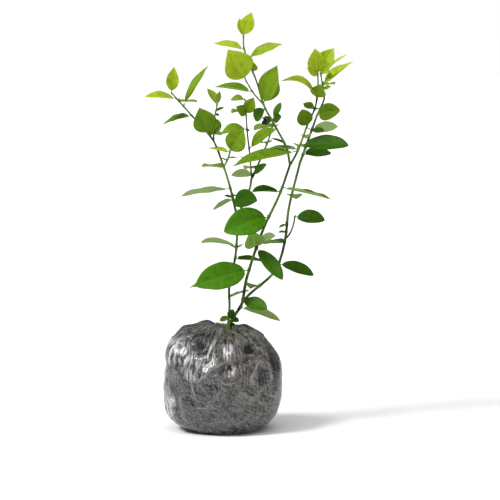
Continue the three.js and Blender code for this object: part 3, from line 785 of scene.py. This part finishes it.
SHOOTS = {
    "left_shoot": [{
        "route": [
            (13, 10, 218), (5.5, 13, 248.5), (-1, 15, 268), (-10, 17, 290), (-28, 17, 311),
            (-52, 14, 338),
        ],
        "radii": (1.25, 0.7),
        "rows": [
            (231, (-20, -14, -9), -38, "sage"), (231, (24, -20, 0), 66, "deep", 20, 0.03),
            (233, (-8, -3, 2), 40, "deep", 4), (242, (-50, 12, -8), -20, "sage", 19),
            (294, (7, 14, 17), 80, "olive", 14), (296, (-9, -16, 27), 80, "mid", 24),
            (315, (-30, 12, -9), 25, "mid"), (324, (24, 12, 41), 14, "fresh", 13),
            (332, (-32, -8, 2), 27, "lime"), (337.5, (3, -10, 26), 85, "lime"),
        ],
        "back": 4,
    }, {
        "route": [(-9.5, 17, 289), (-9, 21, 309), (-6, 24, 326)],
        "rows": [
            (319, (8, 5, 4), 40, "olive", 4), (324.5, (3, -8, 15), 0, "fresh", 7),
            (325, (-10, 8, 17), 25, "lime"),
        ],
    }, {
        "route": [(0.5, 14.6, 263), (5, 11, 272), (7, 8, 279)],
        "rows": [
            (270, (-7, -3, 3), 30, "fresh", 3), (273, (9, 2, 0), 30, "fresh", 3),
            (278, (14, -12, 24), 80, "fresh", 22), (278.5, (-22, 8, 4), 15, "lime"),
        ],
    }],
    "back_shoot": [{
        "route": [
            (28.3, 28, 250), (35.6, 36, 265.7), (42, 44, 280), (46.5, 49, 291), (51.5, 57, 312),
        ],
        "radii": (1.1, 0.7),
        "rows": [
            (254, (-22, -10, 1), -50, "sage", 12), (255, (13, -6, 11), 60, "green", 8),
            (309, (8, -7, 4), 60, "deep", 11), (311, (7, 8, 16), 25, "green", 8),
        ],
        "back": 4,
    }, {
        "route": [(28.6, 29, 252), (26.4, 27, 279), (24.5, 25, 295.5), (22, 22, 331)],
        "rows": [
            (281, (28, -12, 21), 45, "fresh"), (300, (-27, -8, -4), 40, "fresh", 14, 0.2),
            (315, (-10, -10, 9), 60, "fresh", 12), (316, (8, -8, 17), 75, "fresh", 13),
            (330, (-15, 8, 0), 45, "fresh", 9, 0.2),
        ],
        "back": 2,
    }],
    "centre_shoot": [{
        "route": [
            (66.7, -14, 267), (63, -17, 284), (51.5, -21, 306), (40.5, -26, 326.2),
            (33.5, -31, 349), (21.3, -38, 381.3), (20.6, -41, 394.3),
        ],
        "radii": (1.2, 0.65),
        "rows": [
            (289, (-13, 8, 4), 15, "deep", 5), (312, (-7, 4, 3), 50, "deep", 3),
            (313, (-6, -4, -6), 70, "deep", 6), (323, (-10, 8, -12), 60, "green", 13),
            (327, (13, -14, 38), 66, "fresh", 22), (328, (16, 10, 20), 60, "mid", 17),
            (359, (1, -8, 9), 80, "fresh", 9), (372, (34, -10, 14), 45, "spring", 13),
            (381, (-30, 12, 6), 22, "lime"), (393, (-4, 6, 18), 60, "lime", 9),
            (393.5, (8, -6, 23), 80, "lime", 14),
        ],
        "back": 2,
    }, {
        "route": [(40, -26, 327), (30.4, -32, 338), (22.5, -37, 351)],
        "rows": [
            (339.5, (-38, 10, 5), 13, "mid"), (350.5, (-17, -14, 30), 80, "lime", 30),
        ],
    }],
    "inner_right_shoot": [{
        "route": [
            (67.3, -14, 267.5), (74.5, -18, 281.6), (83.5, -20, 306), (91.5, -20, 325),
            (94, -18, 346), (93.6, -16, 357.4),
        ],
        "radii": (1.1, 0.7),
        "rows": [
            (281, (-65, -24, -13), 20, "mid", 23, 0), (283, (-32, 10, -1), 8, "sage"),
            (287, (47, -14, 0), 38, "deep"), (305, (-5, -14, 17), 80, "olive", 16),
            (322, (-11, 8, 6), 50, "mid", 9), (332, (-36, -14, 18), 27, "lime", 17, 0.2),
            (333, (3, -12, 14), 70, "fresh", 16), (355, (-11, -8, 8), 60, "lime", 10),
            (356.5, (-3, -14, 25), 80, "lime", 18), (357, (16, -4, 25), 75, "lime", 18),
        ],
        "back": 2,
    }],
    "right_shoot": [{
        "route": [
            (77.2, 30, 266), (89, 33, 298.4), (94.8, 35, 314.5), (102, 37, 332),
            (100.5, 38, 343), (98.2, 39, 358),
        ],
        "radii": (1.35, 0.7),
        "rows": [
            (275, (29, 16, 2), 35, "deep", 16), (300, (12, -8, -1), 45, "deep", 8),
            (301, (26, 8, 2), -70, "sage", 12), (315, (22, -16, 5), 70, "olive", 18),
            (341, (8, -6, 3), 60, "fresh", 5), (344, (31, 14, 25), 8, "lime"),
            (356, (9, 8, 5), 40, "lime", 7), (357, (26, -8, 19), 25, "lime", 8),
        ],
        "back": 4,
    }],
    "right_side_twig": [{
        "route": [(62.8, 24, 190), (67.3, 20, 196), (71.1, 16, 207), (72, 15, 214)],
        "radii": (0.95, 0.8),
        "rows": [(213.5, (30, -10, -3), 54, "green", 16, 0.02)],
    }],
}

TONES = {  # the colour above and below
    "lime": ("#91a81c", "#97ac44"),
    "spring": ("#7c9418", "#8ea645"),
    "fresh": ("#668412", "#829d3e"),
    "mid": ("#5c7e12", "#78983e"),
    "bright": ("#3d6e05", "#6b9038"),
    "green": ("#365d06", "#658636"),
    "olive": ("#4f6e06", "#86a058"),
    "deep": ("#2d5303", "#5f8038"),
    "sage": ("#6b9038", "#8fa866"),
}
FULL_GROWN = {"bright", "green", "deep", "olive", "sage"}  # blunter, now and then dry at the tip
BLADE_PARTS = {  # each part's lightness beside the blade's, and its roughness
    "blade": (1, 0.5),
    # shaded and light are darker and lighter copies of the blade: partly mottle, partly painted
    # shade and painted light
    "shaded": (0.87, 0.5),
    "light": (1.12, 0.5),
    "rib": (1.12, 0.55),
    "below": (1, 0.7),
    "dry_tip": (1, 0.8),
}
MOTTLE = 5  # size of the darker and lighter places on a blade
MOTTLE_RISE = (0.7, 0.3)  # how much lighter it gets from stalk to tip, and from rib to margin
PLAIN = 0.22  # below this a place is neither darker nor lighter

plant_draws = itertools.count(SEED + 1)


def chance():
    """A number from -1 to 1, the next one of the plant's own sequence."""
    whole = 0xFFFFFFFF
    t = (next(plant_draws) + 0x6D2B79F5) & whole
    t = ((t ^ (t >> 15)) * (t | 1)) & whole
    t ^= (t + (((t ^ (t >> 7)) * (t | 61)) & whole)) & whole
    return 2 * ((t ^ (t >> 14)) & whole) / 2**32 - 1


def point_at_height(route, height):
    """The point of a rising route at a height."""
    low, high = 0, 1
    while high - low > 1e-6:
        middle = (low + high) / 2
        if curve_point(route, middle).z < height:
            low = middle
        else:
            high = middle
    return curve_point(route, low)


def leaf_plan(route, height, reach, face, tone, width=None, bow=None):
    """Where a leaf grows and how it is folded, with its two draws taken from the sequence."""
    chord = Vector(reach)
    axis = chord.normalized()
    roll = math.radians(face)
    skyward, forward = [
        (way - axis * way.dot(axis)).normalized() for way in (Vector((0, 0, 1)), Vector((0, -1, 0)))
    ]
    up = (skyward * math.cos(roll) + forward * math.sin(roll)).normalized()
    fold = LEAF_FOLD * (1 + LEAF_CHANCE * chance())
    usual_bow = LEAF_BOW * (1 + LEAF_CHANCE * chance())
    return {
        "joint": point_at_height(route, height),
        "chord": chord,
        "up": up,
        "side": axis.cross(up),
        "broad": (LEAF_SHAPE * chord.length if width is None else width) / 2,
        "fold": fold,
        "bow": usual_bow if bow is None else bow,
        "tone": tone,
    }


def back_plans(route, count, tone):
    """The rule for the side turned away: leaves spread evenly up a stem, which reach back."""
    foot = route[0][2]
    rows = []
    for i in range(count):
        height = foot + (route[-1][2] - foot) / count * (i + 0.5 + BACK_CHANCE * chance())
        turn = math.radians(BACK_SPREAD * chance())
        droop = math.radians(BACK_DROOP * (1 + chance()) / 2)
        length = BACK_LEAF * (1 + BACK_CHANCE * chance())
        reach = Vector((
            math.sin(turn) * math.cos(droop), math.cos(turn) * math.cos(droop), -math.sin(droop),
        )) * length
        rows.append((height, reach, 0))
    return [leaf_plan(route, *row, tone) for row in rows]


leaf_variety = random.Random(5)


def grow_leaf(bm, plan, slots):
    """A leaf with its stalk: one flattened rod, its upper half the waxy side of the blade."""
    length, broad, up, side = plan["chord"].length, plan["broad"], plan["up"], plan["side"]
    phase = leaf_variety.uniform(0, 6.28)
    waves = leaf_variety.uniform(*MARGIN_WAVES)
    wave = MARGIN_WAVE * length * leaf_variety.uniform(0.3, 1.4)
    twist = math.radians(leaf_variety.uniform(-TWIST, TWIST))
    droop = leaf_variety.uniform(0, TIP_DROOP)
    made, faces = rod(bm, 2 * LEAF_COLUMNS, LEAF_ROWS)
    full_grown = plan["tone"] in FULL_GROWN
    egg, fullness, drawn_out = OLD_OUTLINE if full_grown else YOUNG_OUTLINE
    dry = full_grown and leaf_variety.random() < DRY_CHANCE
    for face in faces:
        middle = face.calc_center_median()
        across = 1 - 2 * math.atan2(abs(middle.y), middle.x) / math.pi
        # The darker and lighter places are partly mottle and partly painted shade and painted
        # light.
        mottle = noise.noise(Vector((across * broad, middle.z * length, 9 * phase)) / MOTTLE)
        mottle += MOTTLE_RISE[0] * (middle.z - 0.5) + MOTTLE_RISE[1] * (abs(across) - 0.5)
        if dry and middle.z > DRY_TIP:
            part = "dry_tip"
        elif middle.y < 0:
            part = "below"
        elif abs(across) < 2 / LEAF_COLUMNS:
            part = "rib"
        elif abs(mottle) < PLAIN:
            part = "blade"
        else:
            part = "light" if mottle > 0 else "shaded"
        face.material_index = slots.index((plan["tone"], part))
    for vert in made:
        row = round(vert.co.z * LEAF_ROWS)
        turn = math.atan2(vert.co.y, vert.co.x) / math.pi
        u = 1 - 2 * abs(turn)
        edge = abs(u)
        above = 0 if edge > 1 - 2e-4 else math.copysign(1, turn)
        # The veins and the rows of faces with them slant forwards on their way to the margin.
        straight = row / LEAF_ROWS
        slant = VEIN_SLANT * edge * (1 - 0.35 * edge) * smooth_step(straight, STALK_SHARE, 0.3)
        along = straight + slant * (1 - straight) * (1 - 0.25 * straight)
        share = (along - STALK_SHARE) / (1 - STALK_SHARE)
        # Half the width here: the blade's own, or that of the stalk, which ends in a thin tip.
        inside = 0 < share < 1
        blade = 0
        if inside:
            blade = math.sin(math.pi * share**egg) ** (fullness + drawn_out * share**3) * broad
        stalk = STALK * (1.15 - 0.3 * along / STALK_SHARE) if share <= 0 else 0.12
        half = max(blade, stalk)
        on_blade = min(1, blade / (0.25 * broad))
        rib = math.exp(-((u * half / RIB_WIDTH) ** 2))
        vein = (row % 4 < 2) * (1 - edge**3) * on_blade
        if inside:
            thick = LEAF_THICKNESS / 2 * (1 - edge**6)
        else:
            thick = stalk * math.sqrt(max(0, 1 - u * u))
        if inside and above < 0:
            thick += (1.1 * (1 - along) + 0.15) * RIB_BELOW * rib * min(1, half / 1.5)
        # How far it stands up from the chord: bow, fold, veins, waves, and the drooping tip.
        rise = plan["bow"] * length * 4 * along * (1 - along)
        rise += plan["fold"] * (math.hypot(blade * edge, 0.5) - 0.5)
        rise -= on_blade * (VEIN_DEPTH * vein + RIB_DEPTH * rib * (1 - along))
        lag = phase + (WAVE_LAG if u > 0 else 0)
        rise += wave * on_blade * edge**3 * math.sin(2 * math.pi * waves * share + lag)
        rise -= droop * length * max(0, share - 0.6) ** 2
        lean = twist * (along - 0.5) * on_blade
        across = side * math.cos(lean) + up * math.sin(lean)
        above_way = up * math.cos(lean) - side * math.sin(lean)
        middle = plan["joint"] + plan["chord"] * along
        vert.co = middle + across * (u * half) + above_way * (rise + above * thick)


# Leaf blades: a waxy cuticle over soft green tissue. Above they have a low sheen and a lighter rib,
# with darker and lighter copies of their colour in random patches that get lighter from stalk to
# tip and from rib to margin, partly the leaf's own mottle and partly painted shade and painted
# light. Below they are dull and paler. Each surface has one colour, and the light does the rest in
# the fine net between the veins.
leaf_blades = {}
for tone, (above, below) in TONES.items():
    for part, (lightness, roughness) in BLADE_PARTS.items():
        blade, blade_place = new_material(f"waxy_leaf_{tone}_{part}")
        net = add(
            blade, "ShaderNodeTexVoronoi", {"Vector": blade_place, "Scale": 1 / (1.3 * MM)},
            feature="DISTANCE_TO_EDGE",
        )
        colour = paint({"below": below, "dry_tip": "#5c4f22"}.get(part, above))
        finish_material(blade, net, 0.5, 0.25, {
            "Base Color": (*[lightness * c for c in colour[:3]], 1),
            "Roughness": roughness, "Specular IOR Level": 0.1,
        })
        leaf_blades[tone, part] = blade


def finish_leaves(name, plans, slot, *nodes):
    """Leaves joined in one piece, with the blades' materials that they need."""
    tones = {plan["tone"] for plan in plans}
    slots = [key for key in leaf_blades if key[0] in tones]
    bm = bmesh.new()
    for plan in plans:
        grow_leaf(bm, plan, slots)
    finish_piece(name, bm, [leaf_blades[key] for key in slots], slot, *nodes)


# The leaves of the front draw first from the plant's sequence, and those of the back after them.
lone_plans = {
    name: [leaf_plan(STEMS[name]["route"], *row) for row in leaves["rows"]]
    for name, leaves in LONE_LEAVES.items()
}
shoot_plans = {
    name: [[leaf_plan(stem["route"], *row) for row in stem["rows"]] for stem in shoot]
    for name, shoot in SHOOTS.items()
}
for name, leaves in LONE_LEAVES.items():
    lone_plans[name] += back_plans(STEMS[name]["route"], leaves.get("back", 0), "green")
for name, shoot in SHOOTS.items():
    for stem, plans in zip(shoot, shoot_plans[name]):
        plans += back_plans(stem["route"], stem.get("back", 0), "fresh")

for name, plans in lone_plans.items():
    nodes = [f"{name}_leaf_{i + 1}" for i in range(len(plans))]
    finish_leaves(f"{name}_leaves", plans, "old_leaf", *nodes)

stems = bmesh.new()
for name, stem in STEMS.items():
    joints = [plan["joint"].z for plan in lone_plans.get(name, [])]
    grow_stem(stems, stem["route"], stem["radii"], joints)
finish_piece("bare_stems", stems, [green_bark], "green_bark", *STEMS)

for name, shoot in SHOOTS.items():
    twigs = bmesh.new()
    for stem, plans in zip(shoot, shoot_plans[name]):
        joints = [plan["joint"].z for plan in plans]
        grow_stem(twigs, stem["route"], stem.get("radii", TWIG_RADII), joints)
    finish_piece(f"{name}_stems", twigs, [green_bark], "green_bark", name)
    plans = [plan for stem_plans in shoot_plans[name] for plan in stem_plans]
    finish_leaves(f"{name}_leaves", plans, "young_leaf", name)


# ---- The buds ----
# Small pointed buds, wrapped in three rounds of scales, where the stalk of each leaf leaves its
# stem. A few larger ones have dried brown.

BUD_SIDES = 10
BUD_RINGS = 14
BUD_SCALES = 3
BUD_SIZE = (1.6, 2.6)
BUD_SHAPE = 0.62
BUD_UPWARDS = 1.4  # how much more upwards than outwards a bud points
DRIED_BUDS = [  # place, way, length and width
    ((8.6, -2.6, 105.5), (0.6, -0.5, 0.5), 4.5, 3),
    ((16.3, -5.6, 122), (-0.5, -0.8, 0.4), 3.5, 2.4),
    ((26.5, -37.5, 301.5), (-0.8, 0, 0.5), 3, 1.8),
    ((42.5, -28, 311), (-0.7, -0.5, -0.6), 6, 4.2),
    ((43, -28, 312), (-0.9, -0.3, 0.5), 5, 2.4),
    ((-7, 22, 316), (0.8, -0.4, -0.2), 3.6, 2.6),
]


def grow_bud(bm, place, way, length, width):
    """A bud whose scales overlap towards its point."""
    way = Vector(way).normalized()
    across = way.orthogonal().normalized()
    third = way.cross(across)
    for vert in rod(bm, BUD_SIDES, BUD_RINGS)[0]:
        share = vert.co.z
        turn = math.atan2(vert.co.y, vert.co.x)
        scale = (share * BUD_SCALES + turn / math.pi / 2) % 1
        outline = math.sin(math.pi * (0.12 + 0.88 * share) ** 0.9) ** 0.8
        radius = max(0.05, width / 2 * outline * (1.12 - 0.2 * scale))
        round_way = across * math.cos(turn) + third * math.sin(turn)
        vert.co = Vector(place) + way * share * length + round_way * radius


# Bud scales: thin, tough and a little waxy. The living ones are reddish green, the dried ones
# nearly black.
bud_scales = []
for name, colour in (("living_bud_scales", "#5f6a2c"), ("dried_bud_scales", "#110c09")):
    scales, scale_place = new_material(name)
    grain = add(scales, "ShaderNodeTexNoise", {"Vector": scale_place, "Scale": 1 / (0.5 * MM)})
    finish_material(scales, grain, 0.5, 0.15, {
        "Base Color": paint(colour), "Roughness": 0.55, "Specular IOR Level": 0.2,
    })
    bud_scales.append(scales)

living_buds = bmesh.new()
bud_variety = random.Random(9)
all_plans = [plan for plans in lone_plans.values() for plan in plans]
all_plans += [plan for shoot in shoot_plans.values() for plans in shoot for plan in plans]
for plan in all_plans:
    way = plan["chord"].normalized() + Vector((0, 0, BUD_UPWARDS))
    size = bud_variety.uniform(*BUD_SIZE)
    grow_bud(living_buds, plan["joint"], way, size + 1, size * BUD_SHAPE)
finish_piece("living_buds", living_buds, bud_scales[:1], "green_bark", *STEMS, *SHOOTS)

dried_buds = bmesh.new()
for row in DRIED_BUDS:
    grow_bud(dried_buds, *row)
finish_piece("dried_buds", dried_buds, bud_scales[1:], "green_bark", *STEMS, *SHOOTS)


# ---- The studio ----
# A pale floor in soft light, with one broad lamp up on the left, as for a product picture.

FLOOR_HALF = 40  # metres
AIM = Vector((27, 0, 181)) * MM
DISTANCE = 2200 * MM
ELEVATION = math.radians(5)
LENS = 158.4
ROOM_LIGHT = 0.3
SEEN_LIGHT = 1  # how bright the room is where the camera looks straight at it
LAMPS = [  # power, spread in degrees, and the way to it
    ("key", 2.8, 19, (-0.65, -0.45, 0.8)),
    ("top", 1.2, 55, (0.1, -0.35, 1)),
    ("fill", 0.3, 50, (0.8, -0.6, 0.35)),
]

floor_mesh = bpy.data.meshes.new("floor")
floor_bm = bmesh.new()
bmesh.ops.create_grid(floor_bm, x_segments=1, y_segments=1, size=FLOOR_HALF)
floor_bm.to_mesh(floor_mesh)
floor_bm.free()
floor = new_object("floor", floor_mesh)
matt_card = bpy.data.materials.new("matt_white_card")
matt_card.use_nodes = True
wire(matt_card.node_tree, matt_card.node_tree.nodes["Principled BSDF"], {
    "Base Color": paint("#fafafa"), "Roughness": 0.9, "Specular IOR Level": 0,
})
floor_mesh.materials.append(matt_card)

world = bpy.data.worlds.new("studio")
world.use_nodes = True
to_camera = add(world, "ShaderNodeLightPath").outputs["Is Camera Ray"]
backdrop = add(world, "ShaderNodeMix", {0: to_camera, 2: ROOM_LIGHT, 3: SEEN_LIGHT})
wire(world.node_tree, world.node_tree.nodes["Background"], {
    "Color": (1, 1, 1, 1), "Strength": backdrop,
})
bpy.context.scene.world = world

for name, power, spread, direction in LAMPS:
    lamp = bpy.data.lights.new(name, "SUN")
    lamp.energy = power
    lamp.angle = math.radians(spread)
    turned = Vector(direction).to_track_quat("Z", "Y").to_euler()
    new_object(name, lamp).rotation_euler = turned

camera_data = bpy.data.cameras.new("camera")
camera_data.lens = LENS
camera = new_object("camera", camera_data)
towards = Vector((0, math.cos(ELEVATION), -math.sin(ELEVATION)))
camera.location = AIM - towards * DISTANCE
camera.rotation_euler = towards.to_track_quat("-Z", "Y").to_euler()
bpy.context.scene.camera = camera
bpy.context.scene.view_settings.view_transform = "Standard"
